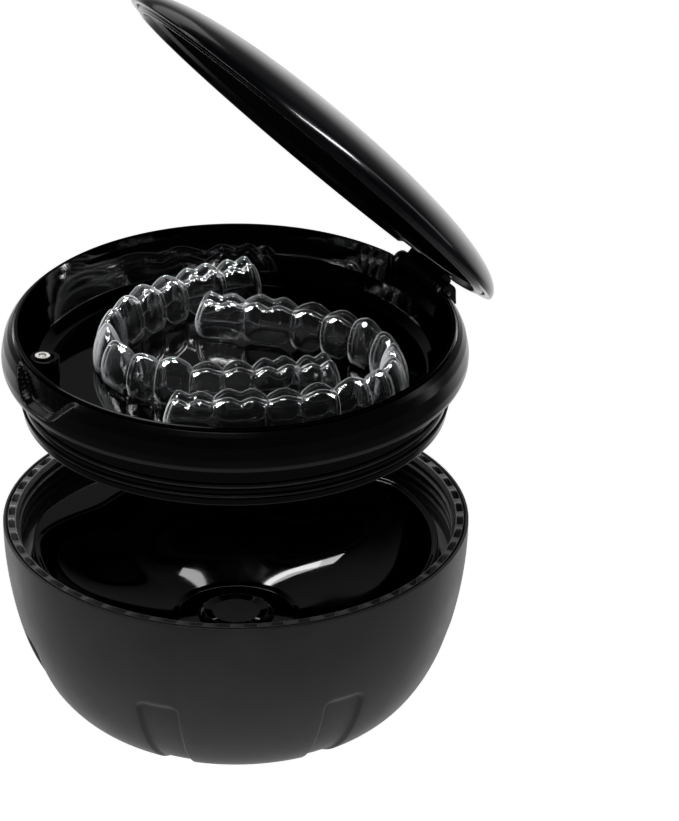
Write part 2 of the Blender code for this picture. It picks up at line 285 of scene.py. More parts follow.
class Paint:
    """A Principled material with room for procedural detail."""

    def __init__(self, name, colour, roughness, metallic=0.0, **sockets):
        self.material = bpy.data.materials.new(name)
        self.material.use_nodes = True
        self.nodes = self.material.node_tree.nodes
        self.links = self.material.node_tree.links
        self.shader = self.nodes["Principled BSDF"]
        self.shader.inputs["Base Color"].default_value = (*colour, 1)
        self.shader.inputs["Roughness"].default_value = roughness
        self.shader.inputs["Metallic"].default_value = metallic
        for socket, value in sockets.items():
            self.shader.inputs[socket.replace("_", " ")].default_value = value
        self.place = self.nodes.new("ShaderNodeTexCoord").outputs["Object"]

    def noise(self, scale, detail=3.0, rough=0.5, stretch=None):
        """Noise with about `scale` lumps per metre."""
        place = self.place
        if stretch:
            mapping = self.nodes.new("ShaderNodeMapping")
            mapping.inputs["Scale"].default_value = stretch
            self.links.new(place, mapping.inputs["Vector"])
            place = mapping.outputs["Vector"]
        made = self.nodes.new("ShaderNodeTexNoise")
        made.inputs["Scale"].default_value = scale
        made.inputs["Detail"].default_value = detail
        made.inputs["Roughness"].default_value = rough
        self.links.new(place, made.inputs["Vector"])
        return made.outputs["Fac"]

    def ranged(self, value, low, high, start=0.35, end=0.65):
        made = self.nodes.new("ShaderNodeMapRange")
        made.inputs["From Min"].default_value = start
        made.inputs["From Max"].default_value = end
        made.inputs["To Min"].default_value = low
        made.inputs["To Max"].default_value = high
        self.links.new(value, made.inputs["Value"])
        return made.outputs["Result"]

    def roughness(self, value, low, high, start=0.35, end=0.65):
        self.links.new(self.ranged(value, low, high, start, end), self.shader.inputs["Roughness"])

    def colours(self, value, low, high, start=0.35, end=0.65):
        mix = self.nodes.new("ShaderNodeMix")
        mix.data_type = "RGBA"
        self.links.new(self.ranged(value, 0, 1, start, end), mix.inputs["Factor"])
        mix.inputs["A"].default_value = (*low, 1)
        mix.inputs["B"].default_value = (*high, 1)
        self.links.new(mix.outputs["Result"], self.shader.inputs["Base Color"])

    def bump(self, value, depth_mm, strength=1.0):
        made = self.nodes.new("ShaderNodeBump")
        made.inputs["Strength"].default_value = strength
        made.inputs["Distance"].default_value = depth_mm * MM
        self.links.new(value, made.inputs["Height"])
        self.links.new(made.outputs["Normal"], self.shader.inputs["Normal"])


def soft_touch():
    """Rubbery matte coating with a very fine grain and faint handling marks."""
    paint = Paint("soft_touch_black", (0.016, 0.016, 0.018), 0.46, Sheen_Weight=0.16)
    paint.colours(paint.noise(90, 4), (0.013, 0.013, 0.015), (0.018, 0.018, 0.021))
    paint.roughness(paint.noise(60, 5, 0.6), 0.40, 0.52)
    paint.bump(paint.noise(5200, 2), 0.012, 0.5)
    return paint.material


def polished(name, colour, low, high, grain_mm=0.0015, **sockets):
    """Moulded gloss plastic: a slow orange-peel ripple and a little wear in the polish."""
    paint = Paint(name, colour, low, **sockets)
    lighter = tuple(c * 1.5 for c in colour)
    paint.colours(paint.noise(45, 3), colour, lighter)
    paint.roughness(paint.noise(140, 5, 0.62), low, high)
    paint.bump(paint.noise(420, 2), grain_mm, 0.35)
    return paint.material


def satin(name, colour, roughness, shine=0.5):
    """Satin moulded plastic with a fine spark-eroded grain."""
    paint = Paint(name, colour, roughness, Specular_IOR_Level=shine)
    paint.colours(paint.noise(120, 3), colour, tuple(c * 1.4 for c in colour))
    paint.roughness(paint.noise(300, 4), roughness * 0.85, roughness * 1.15)
    paint.bump(paint.noise(3800, 2), 0.006, 0.4)
    return paint.material


def flocked():
    """Matte flocking, which throws back almost no light even at a glancing angle."""
    paint = Paint("lid_flocking_black", (0.0022, 0.0022, 0.0026), 0.95, Specular_IOR_Level=0.0)
    paint.colours(paint.noise(1800, 4), (0.0014, 0.0014, 0.0017), (0.0034, 0.0034, 0.0040))
    paint.bump(paint.noise(4200, 3), 0.02, 0.6)
    return paint.material


def silicone():
    """Matte seal rubber."""
    paint = Paint("seal_silicone", (0.012, 0.012, 0.013), 0.42)
    paint.colours(paint.noise(200, 3), (0.010, 0.010, 0.011), (0.018, 0.018, 0.019))
    paint.roughness(paint.noise(500, 3), 0.34, 0.5)
    paint.bump(paint.noise(2500, 2), 0.008, 0.4)
    return paint.material


def plated(name, colour, roughness):
    """Nickel plate with fine turning marks and a little tarnish."""
    paint = Paint(name, colour, roughness, 1.0)
    paint.colours(paint.noise(900, 4), tuple(c * 0.72 for c in colour), colour)
    paint.roughness(paint.noise(2200, 3), roughness * 0.7, roughness * 1.5)
    paint.bump(paint.noise(6000, 2), 0.004, 0.5)
    return paint.material


def cut_edge():
    """The trimmed edge of the clear sheet, which is ground and so catches light."""
    paint = Paint("clear_cut_edge", (0.80, 0.82, 0.84), 0.3)
    paint.shader.inputs["Alpha"].default_value = 0.6
    paint.roughness(paint.noise(2500, 3), 0.2, 0.45)
    paint.bump(paint.noise(3000, 2), 0.02, 0.5)
    return paint.material


def clear_sheet():
    """Thermoformed clear sheet, too thin to bend what is seen through it, with a painted highlight: white
    mixed in where it is seen edge-on, in place of the bright reflections along its edges.

    It keeps a faint print of the model that it was formed on, and tiny bubbles.
    """
    # The whitish colour of this Principled shader is the painted edge highlight, mixed in only where the
    # sheet is seen edge-on
    paint = Paint("clear_thermoformed", (0.86, 0.88, 0.90), 0.12, IOR=1.5)
    nodes, links = paint.nodes, paint.links
    paint.roughness(paint.noise(900, 4, 0.6), 0.06, 0.22)
    paint.bump(paint.noise(1300, 4, 0.62), 0.09, 0.6)
    bumped = paint.shader.inputs["Normal"].links[0].from_socket
    see_through = nodes.new("ShaderNodeBsdfTransparent")
    see_through.inputs["Color"].default_value = (0.975, 0.98, 0.985, 1)
    gloss = nodes.new("ShaderNodeBsdfGlossy")
    gloss.inputs["Roughness"].default_value = 0.04
    links.new(bumped, gloss.inputs["Normal"])
    rim = nodes.new("ShaderNodeLayerWeight")
    rim.inputs["Blend"].default_value = 0.5
    links.new(bumped, rim.inputs["Normal"])
    fresnel = nodes.new("ShaderNodeFresnel")
    fresnel.inputs["IOR"].default_value = 1.55
    links.new(bumped, fresnel.inputs["Normal"])
    sheet, painted_highlight_mix = nodes.new("ShaderNodeMixShader"), nodes.new("ShaderNodeMixShader")
    links.new(fresnel.outputs["Fac"], sheet.inputs["Fac"])
    links.new(see_through.outputs["BSDF"], sheet.inputs[1])
    links.new(gloss.outputs["BSDF"], sheet.inputs[2])
    # Painted highlight: the whitish shader is mixed in by how edge-on the sheet is seen, standing in for
    # bright edge reflections
    links.new(paint.ranged(rim.outputs["Facing"], *PAINTED_EDGE_HIGHLIGHT, *PAINTED_HIGHLIGHT_FACING), painted_highlight_mix.inputs["Fac"])
    links.new(sheet.outputs["Shader"], painted_highlight_mix.inputs[1])
    links.new(paint.shader.outputs["BSDF"], painted_highlight_mix.inputs[2])
    links.new(painted_highlight_mix.outputs["Shader"], nodes["Material Output"].inputs["Surface"])
    return paint.material


# ---------------------------------------------------------------- the bowl


def bowl_outline(steps, inset=0.0):
    """(radius, height) of the bowl's outside from rim to base: a superellipse, set in by inset."""
    points = []
    for k in range(steps + 1):
        turn = 0.5 * math.pi * k / steps
        r = BASE_R + (CASE_R - BASE_R) * math.cos(turn) ** 0.72
        z = BOWL_H * (1 - math.sin(turn) ** 1.12)
        points.append((r - inset * math.cos(turn) ** 0.5, z + inset * math.sin(turn)))
    return points


def pocket_dent(angle, z):
    """How far a grip pocket sets the bowl's side in, at this angle and height."""
    off = abs(turn_between(POCKETS * angle, POCKETS * POCKET_FIRST)) / POCKETS
    corner = max(z - (POCKET_TOP - 1.6), 0) / 1.9
    half = POCKET_HALF * (1 - 0.35 * corner * corner)
    across = smooth_step((half - off) / (0.2 * POCKET_HALF))
    down = smooth_step((POCKET_TOP + 0.5 - z) / 1.3)
    return POCKET_DEPTH * across * down


def pocket_angles():
    """Angles that are close together in the pockets and wide apart between them."""
    pitch = 2 * math.pi / POCKETS
    inner = [-POCKET_HALF + 2 * POCKET_HALF * k / 34 for k in range(35)]
    outer = [POCKET_HALF + (pitch - 2 * POCKET_HALF) * k / 18 for k in range(1, 18)]
    return [POCKET_FIRST + pitch * k + off for k in range(POCKETS) for off in inner + outer]


def make_bowl_shell(material):
    """Outer shell with its flat foot, grip pockets and a step at the rim for the collar."""
    outside = [p for p in bowl_outline(110) if p[1] > 0.5 and p[1] < BOWL_H - 0.6]
    foot = [(BASE_R - 3, 0.25), (BASE_R - 2, 0.0), (BASE_R + 0.6, 0.0, 0.7)]
    rim = [(CASE_R, BOWL_H, 0.35), (CASE_R - 0.55, BOWL_H, 0.2)]
    inside = [p for p in bowl_outline(16, SHELL_WALL) if p[1] < 30.5]

    def outline(angle):
        side = [(r - pocket_dent(angle, z), z) for r, z in reversed(outside)]
        seat = [(CASE_R - 1.65, 31.0), (inside[0][0], 31.0)]
        return rounded([(0, 0.25), *foot, *side, *rim, *seat, *inside, (0, SHELL_WALL)])

    verts, faces = turned(outline, pocket_angles())
    piece("bowl_shell_fine", verts, faces, material, "bowl", ["bowl_shell"])


def slot_share(angle):
    """1 in a drain slot of the rim, 0 between slots."""
    off = abs(turn_between(SLOTS * angle, 0)) / SLOTS
    return 1.0 if off < SLOT_HALF else 0.0


def slot_angles():
    """Angles close to each slot's edges, so that the edges stay crisp."""
    pitch = 2 * math.pi / SLOTS
    crisp = math.radians(0.12)
    offs = [
        -SLOT_HALF - crisp, -SLOT_HALF + crisp, 0, SLOT_HALF - crisp, SLOT_HALF + crisp, pitch / 2
    ]
    return [pitch * k + off for k in range(SLOTS) for off in offs]


def make_collar(material):
    """Slotted ring between the shell and the liner, ribbed on its inside."""
    z0, z1 = COLLAR_Z

    def outline(angle):
        floor = z1 - SLOT_DEPTH * slot_share(angle)
        points = [(CASE_R - 2.35, z0, 0.2), (COLLAR_R, z1, 0.12)]
        points += [(SLOT_R[1] + 0.04, z1), (SLOT_R[1] - 0.04, floor), (SLOT_R[0] + 0.04, floor)]
        points += [(SLOT_R[0] - 0.04, z1), (SOCKET_R, z1, 0.2), (44.3, z1 - 0.9, 0.3)]
        for k in range(RIBS):
            z = z1 - 2.6 - RIB_PITCH * k
            points += [(GROOVE_R, z + 0.72, 0.15), (RIB_R, z + 0.35, 0.2)]
            points += [(RIB_R, z - 0.3, 0.2), (GROOVE_R, z - 0.7, 0.15)]
        points += [
            (RIB_R, z0 + 3.2, 0.5), (RIB_R, z0 + 1.3, 0.6), (41.9, z0 + 1.3, 0.3), (41.9, z0, 0.2)
        ]
        return rounded(points, 3, loop=True)

    verts, faces = turned(outline, slot_angles())
    piece("rim_collar_fine", verts, faces, material, "bowl", ["rim_collar"])


def hollow_radius(angle):
    """Radius of the hollow at its top: round, and narrowed by a shelf on one side."""
    angle %= 2 * math.pi
    rise = smooth_step((angle - SHELF_SPAN[0] + SHELF_EASE / 3) / SHELF_EASE)
    fall = smooth_step((SHELF_SPAN[1] + SHELF_EASE / 3 - angle) / SHELF_EASE)
    return LINER_R + (SHELF_R - LINER_R) * min(rise, fall)


def make_liner(material):
    """Gloss basin: a flat floor with a seat for the plug, and a side that flows up to a ledge."""
    top, floor = LINER_TOP, HOLLOW_FLOOR
    inner = HOLLOW_CURVE[0][0]

    def outline(angle):
        r = hollow_radius(angle)
        grow = (r - inner) / (LINER_R - inner)
        wall = [(inner + (x - inner) * grow, floor + up) for x, up in HOLLOW_CURVE]
        points = [(0, floor - 0.8), (PLUG_R + 0.35, floor - 0.8, 0.1), (PLUG_R + 0.35, floor, 0.2)]
        points += [
            (12.0, floor, 0.4), *flowing(wall), (r + 0.25, top - 0.4, 0.3), (r + 0.9, top, 0.5)
        ]
        points += [(LEDGE_R - 0.25, top, 0.35), (LEDGE_R, top - 1.5, 0.1), (r + 1.4, top - 1.55)]
        under = [(x + 1.1, z - 1.5) for x, z in wall[::-1] if x > 14]
        return rounded([*points, *under, (13.0, floor - 2.2), (0, floor - 2.2)], 8)

    verts, faces = turned(outline, even_angles(240))
    piece("bowl_liner_fine", verts, faces, material, "bowl", ["bowl_liner"])


def make_plug(material):
    """Low round plug with a raised rim."""
    z, r = PLUG_Z, PLUG_R
    points = [
        (0, z), (r, z, 0.2), (r, z + 1.3, 0.3), (r - 0.7, z + 1.75, 0.3), (r - 2.4, z + 1.3, 0.5)
    ]
    points += [(0, z + 1.15)]
    outline = rounded(points, 5)
    verts, faces = turned(lambda angle: outline, even_angles(96))
    piece("liner_plug_fine", verts, faces, material, "bowl", ["liner_plug"])


# ---------------------------------------------------------------- the tray


def notch_share(angle):
    """1 inside the hinge notch, 0 outside it, with a short ramp between."""
    off = abs(turn_between(angle, math.pi / 2))
    return smooth_step((NOTCH_HALF - off) / math.radians(0.35) + 0.5)


def notched(height, share, level=NOTCH_Z):
    """The height, brought down to the notch's level by this share."""
    return height - max(height - level, 0) * share


def make_dish(material):
    """Shallow dish with its spigot and the seats of the two seal rings."""
    z, floor = LIP_Z, TRAY_FLOOR

    def outline(angle):
        share = notch_share(angle)
        points = [(0, floor), (38.9, floor, 2.6), (41.0, floor + 1.9, 2.6), (42.4, z - 6, 3)]
        points += [(43.6, z - 2, 1.5), (44.1, z, 0.28), (44.8, z - 0.25, 0.3), (44.75, z - 8, 0.4)]
        points += [(SPIGOT_R, z - 9.6, 0.3)]
        for low, high in SEAL_SEATS:
            points += [(SPIGOT_R, z - high, 0.12), (SEAL_SEAT_R, z - high, 0.1)]
            points += [(SEAL_SEAT_R, z - low, 0.1), (SPIGOT_R, z - low, 0.12)]
        points += [(43.1, SPIGOT_Z, 0.5), (42.0, SPIGOT_Z, 0.2), (41.8, z - 14.2, 0.5)]
        points += [(40.4, z - 13.0, 0.8), (0, z - 13.0)]
        return [(r, notched(height, share)) for r, height in rounded(points, 6)]

    verts, faces = turned(outline, angles_with(TRAY_EDGES, 260))
    piece("tray_dish_fine", verts, faces, material, "tray", ["tray_dish"])


def make_post(material):
    """Round boss that carries the magnet, faired into the tray's wall and floor."""
    angle = math.atan2(MAGNET_XY.y, MAGNET_XY.x)
    foot, top = TRAY_FLOOR - 0.3, MAGNET_TOP - 0.4
    points = [
        (0, foot), (POST_R + 1.1, foot), (POST_R + 0.15, foot + 1.4, 1.2), (POST_R, top, 0.35)
    ]
    points += [(MAGNET_R + 0.25, top, 0.1), (MAGNET_R + 0.25, top - 1.0), (0, top - 1.0)]
    outline = rounded(points, 6)
    verts, faces = turned(lambda turn: outline, even_angles(72))
    middle = MAGNET_XY * (1 - 0.5 / MAGNET_XY.length)
    wall = SPIGOT_R - middle.length
    along = Vector((math.cos(angle), math.sin(angle)))
    moved = []
    for x, y, z in verts:
        out = x * along.x + y * along.y
        back = max(out - wall, 0)
        moved.append((x + middle.x - along.x * back, y + middle.y - along.y * back, z))
    piece("magnet_post", moved, faces, material, "tray")


def make_magnet(name, material, body, node, top, place=None):
    """Plated disc with a dimple in its middle."""
    low = top - 1.0
    points = [(0, low), (MAGNET_R, low, 0.05), (MAGNET_R, top, 0.2), (0.8, top, 0.1)]
    points += [(0.62, top - 0.12, 0.05), (0, top - 0.14)]
    outline = rounded(points, 4)
    verts, faces = turned(lambda angle: outline, even_angles(48))
    verts = [(x + MAGNET_XY.x, y + MAGNET_XY.y, z) for x, y, z in verts]
    piece(name, verts, faces, material, body, [node], place)


def scoop_reach(angle):
    """How far below the lip the thumb scoop reaches: a lens with drawn-out ends."""
    off = abs(turn_between(angle, -math.pi / 2))
    return SCOOP_REACH[0] + SCOOP_REACH[1] * smooth_step((SCOOP_HALF - off) / (0.75 * SCOOP_HALF))


def make_band(material):
    """Thick rounded band round the dish, with the thumb scoop and the hinge notch."""
    z = LIP_Z
    inner = 45.15
    outer = [
        (45.3, 0.75, 0.15), (46.1, 1.7, 1.2), (46.9, 3.4, 2.0), (BAND_R, 6.2, 2.5), (47.3, 7.8, 1.2)
    ]
    outer += [(46.9, 8.9, 0.5), (46.2, z - BAND_Z, 0.3)]

    corners = [
        (inner, z - 0.7, 0.1), *[(r, z - down, size) for r, down, size in outer], (inner, BAND_Z)
    ]
    smooth = spaced(rounded(corners, 5), 0.22)

    def outline(angle):
        share = notch_share(angle)
        reach = scoop_reach(angle)
        result = []
        for r, height in smooth:
            down = z - height
            set_in = SCOOP_DEPTH * smooth_step((reach - down) / 0.9)
            result.append((max(r - set_in, inner + 0.03 * down), notched(height, share)))
        return result

    verts, faces = turned(outline, angles_with(TRAY_EDGES, 420))
    piece("tray_band_fine", verts, faces, material, "tray", ["tray_band"])


def make_seals(material):
    """Two rings with a blunt lip, in their seats on the spigot."""
    foot_r, side_r, lip_r = 42.85, 43.3, 43.6
    for node in ("seal_ring_upper", "seal_ring_lower"):
        low, high = (corner.z for corner in node_box(node))
        middle = (low + high) / 2
        points = [(foot_r, low, 0.15), (foot_r, high, 0.15), (side_r, high, 0.2)]
        points += [(lip_r, middle, 0.3), (side_r, low, 0.2)]
        outline = rounded(points, 5, loop=True)
        verts, faces = turned(lambda angle, outline=outline: outline, even_angles(220))
        piece(f"{node}_fine", verts, faces, material, "tray", [node])


# ---------------------------------------------------------------- the hinge and the lid


def extruded(outline, stations):
    """Vertices and faces of an outline of (y, z) drawn out along X; stations are (x, grow) pairs."""
    verts, faces = [], []
    size = len(outline)
    middle = sum((Vector(p) for p in outline), Vector((0, 0))) / size
    for x, grow in stations:
        for point in outline:
            off = Vector(point) - middle
            moved = Vector(point) + off.normalized() * grow
            verts.append((x, moved.x, moved.y))
    for k in range(len(stations) - 1):
        for n in range(size):
            m = (n + 1) % size
            faces.append((k * size + n, k * size + m, (k + 1) * size + m, (k + 1) * size + n))
    faces.append(tuple(range(size)))
    faces.append(tuple(range((len(stations) - 1) * size, len(stations) * size)))
    return verts, faces


def arc(radius, start, end, steps):
    """(y, z) points on a circle round the hinge axis, angles in degrees from +Y."""
    turns = [math.radians(start + (end - start) * k / steps) for k in range(steps + 1)]
    return [(HINGE.y + radius * math.cos(t), HINGE.z + radius * math.sin(t)) for t in turns]


def make_pin(material):
    """Steel pin with eased ends."""
    low, high = node_box("hinge_pin")
    points = [(0, low.x), (PIN_R - 0.15, low.x), (PIN_R, low.x + 0.15), (PIN_R, high.x - 0.15)]
    points += [(PIN_R - 0.15, high.x), (0, high.x)]
    verts, faces = turned(lambda angle: points, even_angles(40))
    verts = [(z, HINGE.y + x, HINGE.z + y) for x, y, z in verts]
    piece("hinge_pin_fine", verts, faces, material, "tray", ["hinge_pin"])


def make_bracket(material):
    """Base plate and two round ears, each with eased edges."""
    base = (HINGE.z - 2.75, HINGE.z - 2.2)
    ear_in, ear_out = 6.9, 9.2
    front, back = 42.75, HINGE.y + EAR_R
    plate = [(front, base[1]), (front, base[0]), (back, base[0]), (back, base[1])]
    ends = [(-ear_out, -0.08), (-ear_out + 0.1, 0), (ear_out - 0.1, 0), (ear_out, -0.08)]
    verts, faces = extruded(plate, ends)
    outline = [(back, base[1] - 0.1), *arc(EAR_R, 0, 180, 28), (HINGE.y - EAR_R, base[1] - 0.1)]
    for side in (-1, 1):
        ease = 0.18
        a, b = sorted((side * ear_in, side * ear_out))
        more, more_faces = extruded(outline, [(a, -ease), (a + ease, 0), (b - ease, 0), (b, -ease)])
        faces += [tuple(n + len(verts) for n in face) for face in more_faces]
        verts += more
    piece("hinge_bracket_fine", verts, faces, material, "tray", ["hinge_bracket"])


def lid_place():
    """Turns a mesh that is made where the shut lid is to where the lid stands open, in metres."""
    axis = Matrix.Translation(HINGE * MM)
    return axis @ Matrix.Rotation(-LID_OPEN, 4, "X") @ axis.inverted()


def make_knuckle(material):
    """Hinge tongue with fine ribs round it, under the lid's edge."""
    top = LID_EDGE_Z - 0.05
    outline = [*arc(EAR_R, 180, 360, 28), (HINGE.y + 0.8, HINGE.z + 2.6)]
    outline += [(HINGE.y + 0.1, top), (HINGE.y - EAR_R, top)]
    half, ease, groove = KNUCKLE_HALF, 0.15, -0.28
    stations = [(-half, -ease), (-half + ease, 0.0)]
    pitch = (2 * half - 0.6) / KNUCKLE_RIBS
    for k in range(KNUCKLE_RIBS):
        x = -half + 0.3 + pitch * k
        stations += [(x + 0.10 * pitch, 0), (x + 0.22 * pitch, groove)]
        stations += [(x + 0.62 * pitch, groove), (x + 0.74 * pitch, 0)]
    stations += [(half - ease, 0.0), (half, -ease)]
    verts, faces = extruded(outline, stations)
    place = lid_place()
    piece(
        "hinge_knuckle_fine", verts, faces, material, "lid", ["hinge_knuckle"], place
    )


def dome(radius, rise, steps):
    """Quarter superellipse from the axis to the edge."""
    power = 2 / 2.2
    points = []
    for k in range(steps + 1):
        turn = 0.5 * math.pi * k / steps
        points.append(
            (radius * math.sin(turn) ** power, LID_EDGE_Z + rise * math.cos(turn) ** power)
        )
    points[0] = (0, LID_EDGE_Z + rise)
    return points


def make_lid(shell_material, rim_material, liner_material, magnet_material):
    """Domed shell, a lining with a stepped rim and a flocked face, and the magnet in it."""
    edge, place = LID_EDGE_Z, lid_place()
    outer = [p for p in dome(LID_R, LID_RISE, 72) if p[1] > edge + 0.9]
    inner = [p for p in dome(LID_R - LID_WALL, LID_RISE - LID_WALL, 30) if p[1] > edge + 0.3][::-1]
    rim = [(LID_R, edge, 0.45), (LID_R - LID_WALL, edge, 0.2)]
    outline = rounded([*outer, *rim, *inner], 6)
    verts, faces = turned(lambda angle: outline, even_angles(320))
    piece("lid_shell_fine", verts, faces, shell_material, "lid", ["lid_shell"], place)

    def liner_outline(angle):
        off = abs(turn_between(angle, math.pi / 2))
        cut = smooth_step((LID_NOTCH_HALF - off) / math.radians(0.4) + 0.5)
        points = [
            (0, edge + 3.4), (30, edge + 2.3, 4), (41.6, edge + 1.1, 0.3), (42.2, edge + 1.35, 0.2)
        ]
        points += [(43.2, edge + 0.5, 0.3), (43.5, edge - 0.7, 0.3), (44.2, edge - 0.75, 0.2)]
        points += [(44.35, edge - 0.35, 0.1), (44.9, edge - 0.4, 0.2), (45.3, edge + 0.6, 0.2)]
        points += [(43.6, edge + 1.8), (40, edge + 2.6), (30, edge + 3.7), (0, edge + 4.8)]
        lowest = edge + 0.32
        return [(r, z + max(lowest - z, 0) * cut) for r, z in rounded(points, 5)]

    edges = [math.pi / 2 + side * LID_NOTCH_HALF for side in (-1, 1)]
    verts, faces = turned(liner_outline, angles_with(edges, 280))
    nodes = ["lid_liner"]
    liner = piece(
        "lid_liner_fine", verts, faces, rim_material, "lid", nodes, place
    )
    liner.data.materials.append(liner_material)
    shut, flocked_r = place.inverted(), 41.7
    for face in liner.data.polygons:
        middle = shut @ face.center
        if math.hypot(middle.x, middle.y) < flocked_r * MM:
            face.material_index = 1
    make_magnet("lid_magnet_fine", magnet_material, "lid", "lid_magnet", edge + 1.35, place)


# ---------------------------------------------------------------- the guards

# Tooth widths from the middle of the arch to its end
TEETH = {
    "upper_guard": (8.5, 6.6, 7.6, 7.1, 6.8, 10.2, 9.6),
    "lower_guard": (5.6, 6.0, 7.0, 7.1, 7.2, 11.0, 10.4),
}
# Where each arch opens to, its length and its width
ARCHES = {"upper_guard": (math.radians(79.3), 40.5, 44.9), "lower_guard": (math.radians(230), 43.9, 42.9)}
# (half width, height, taper to the top, valley, cusps along it) from the front teeth to the molars
CROWNS = (
    (3.2, 8.8, 0.60, 0.0, 0),
    (3.2, 8.6, 0.58, 0.0, 0),
    (3.5, 9.0, 0.52, 0.0, 1),
    (3.95, 8.7, 0.26, 1.4, 1),
    (4.1, 8.6, 0.22, 1.5, 1),
    (4.4, 8.5, 0.14, 1.6, 2),
    (4.35, 8.1, 0.14, 1.5, 2),
)
SHEET = 0.7


def arch_points(length, width, steps=600):
    """A dental arch seen from above, from one end round the front to the other."""
    points = []
    for k in range(steps + 1):
        turn = math.pi * (k / steps - 0.5)
        points.append(Vector((length * (1 - math.cos(turn) ** 0.85), 0.5 * width * math.sin(turn))))
    return points


class Route:
    """The arch's middle line by length along it."""

    def __init__(self, points):
        self.points = points
        self.at = [0.0]
        for a, b in zip(points, points[1:]):
            self.at.append(self.at[-1] + (b - a).length)
        self.length = self.at[-1]

    def where(self, along):
        along = min(max(along, 0.0), self.length - 1e-6)
        low, high = 0, len(self.at) - 1
        while high - low > 1:
            middle = (low + high) // 2
            if self.at[middle] <= along:
                low = middle
            else:
                high = middle
        share = (along - self.at[low]) / (self.at[high] - self.at[low])
        return self.points[low].lerp(self.points[high], share)

    def heading(self, along, reach=2.2):
        return (self.where(along + reach) - self.where(along - reach)).normalized()


def crown_point(crown, v, turn, closing, wobble):
    """Across and up, on the outside of the sheet, at v along a tooth and turn round it from gum to gum."""
    half, height, taper, valley, cusps = crown
    lean, lift = wobble
    belly = max(1 - abs(v) ** 2.6, 0.0) ** 0.5
    c, s = math.cos(turn), math.sin(turn)
    up = abs(s) ** 0.62
    across = math.copysign(abs(c) ** 0.62, c)
    across *= 1 - taper * up**2.2
    across *= 0.74 + 0.26 * belly - 0.07 * (1 - up) ** 3
    top = height * (0.80 + 0.20 * belly) + lift * belly
    groove = valley * belly * math.exp(-((across / 0.34) ** 2)) * up**3
    ridge = 0.0
    if cusps:
        beat = math.cos(math.pi * cusps * (v + 1) + math.pi)
        ridge = 0.55 * beat * belly * up**4 * (0.4 + abs(across))
        if cusps == 2:
            groove += 0.5 * belly * math.exp(-((v / 0.16) ** 2)) * up**4
    papilla = 1.5 * abs(v) ** 3.2 - 0.25
    z = papilla + (top - papilla) * up * closing - groove * closing + ridge * closing
    return (across * half * closing ** 0.8 + lean * belly * up, max(z, 0.0))


def guard_mesh(name):
    """Columns of points from gum to gum over the teeth, along the arch, and where it opens to."""
    opens, length, width = ARCHES[name]
    route = Route(arch_points(length, width))
    widths = TEETH[name][::-1] + TEETH[name]
    kinds = CROWNS[::-1] + CROWNS
    scale = route.length / sum(widths)
    chance = random.Random(len(name) + int(length))
    stations, round_steps = 16, 40
    columns, start = [], 0.0
    for k, (tooth, crown) in enumerate(zip(widths, kinds)):
        wobble = (chance.uniform(-0.22, 0.22), chance.uniform(-0.25, 0.25))
        for n in range(stations + (k == len(kinds) - 1)):
            v = -math.cos(math.pi * n / stations)
            beyond = -v if k == 0 else v if k == len(kinds) - 1 else 0.0
            closing = math.sqrt(max(1 - (max(beyond - 0.45, 0.0) / 0.55) ** 2, 0.0))
            along = start + tooth * scale * (v + 1) / 2
            middle, heading = route.where(along), route.heading(along)
            side = Vector((-heading.y, heading.x))
            column = []
            for m in range(round_steps + 1):
                across, up = crown_point(
                    crown, v, math.pi * m / round_steps, max(closing, 0.02), wobble
                )
                flat = middle + side * across
                column.append((flat.x, flat.y, up))
            columns.append(column)
        start += tooth * scale
    return columns, opens


def make_guard(name, material, edge_material):
    """Thin sheet over a row of teeth, in the middle of its CAD node's box."""
    columns, opens = guard_mesh(name)
    turn = Matrix.Rotation(opens, 2)
    flat = [[(*(turn @ Vector(p[:2])), p[2]) for p in column] for column in columns]
    low, high = node_box(name)
    mine = [[p[axis] for column in flat for p in column] for axis in (0, 1)]
    shift = [(low[axis] + high[axis] - min(mine[axis]) - max(mine[axis])) / 2 for axis in (0, 1)]
    verts = [(x + shift[0], y + shift[1], z + low.z) for column in flat for x, y, z in column]
    size = len(columns[0])
    faces = []
    for k in range(len(columns) - 1):
        for n in range(size - 1):
            a, b = k * size + n, (k + 1) * size + n
            faces.append((a, a + 1, b + 1, b))
    made = piece(
        f"{name}_fine", verts, faces, material, name, [name], weighted=False
    )
    sheet = made.modifiers.new("sheet", "SOLIDIFY")
    sheet.thickness = SHEET * MM
    sheet.offset = -1.0
    made.data.materials.append(edge_material)
    sheet.material_offset_rim = 1
    return made


# ---------------------------------------------------------------- studio


# How bright the studio is along a direction: (from, to, brightness there, brightness there)
SWEEP_BEHIND = (0.35, 0.8, 0.05, 0.95)
SWEEP_BELOW = (-0.42, 0.15, 1.0, 0.105)
GLOW_UNDER = (-0.98, -0.55, 0.30, 0.0)

# Groups of pieces that a light may fall on
BASIN = ("bowl_liner_fine", "liner_plug_fine", "rim_collar_fine")
OUTSIDE = (
    "bowl_shell_fine",
    "rim_collar_fine",
    "tray_band_fine",
    "hinge_bracket_fine",
    "hinge_knuckle_fine",
    "seal_ring_upper_fine",
    "seal_ring_lower_fine",
)
SIDES = ("bowl_shell_fine", "tray_band_fine", "lid_shell_fine", "hinge_bracket_fine")
CLEAR = tuple(f"{name}_fine" for name in ARCHES)

